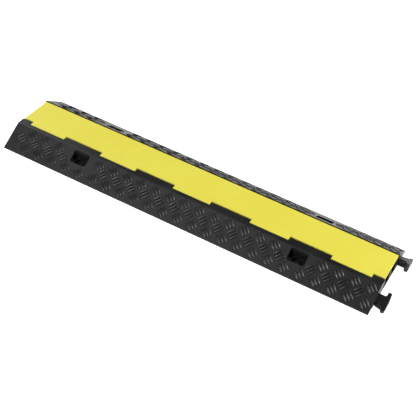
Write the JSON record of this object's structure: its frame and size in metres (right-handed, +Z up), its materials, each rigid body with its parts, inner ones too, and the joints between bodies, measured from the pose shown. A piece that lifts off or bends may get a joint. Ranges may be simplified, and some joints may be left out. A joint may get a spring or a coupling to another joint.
{
  "type": "cable protector ramp",
  "caption": "Rubber cable protector ramp with covered channels, a hinged yellow lid, raised tread on both slopes, anchor pockets and interlocking ends.",
  "frame": {"origin": "on the ground, under the middle of the ramp's body, connectors left out", "axes": "+X along the ramp towards the male connectors, +Y across it, away from the hinge side, +Z up"},
  "size_m": [1.028, 0.25, 0.045],
  "materials": {
    "black_rubber": "moulded black rubber with a raised tread, slightly shiny",
    "yellow_lid": "smooth yellow PVC, satin",
    "steel_rod": "plain drawn steel rod, blackened"
  },
  "bodies": {
    "base": {"ramp_base": "black_rubber", "hinge_rod": "steel_rod"},
    "lid": {"lid": "yellow_lid"}
  },
  "joints": [
    {"name": "lid_hinge", "type": "hinge", "parent": "base", "child": "lid", "pos_m": [0, -0.0455, 0.04], "axis": [1, 0, 0], "range_deg": [0, 100]}
  ]
}
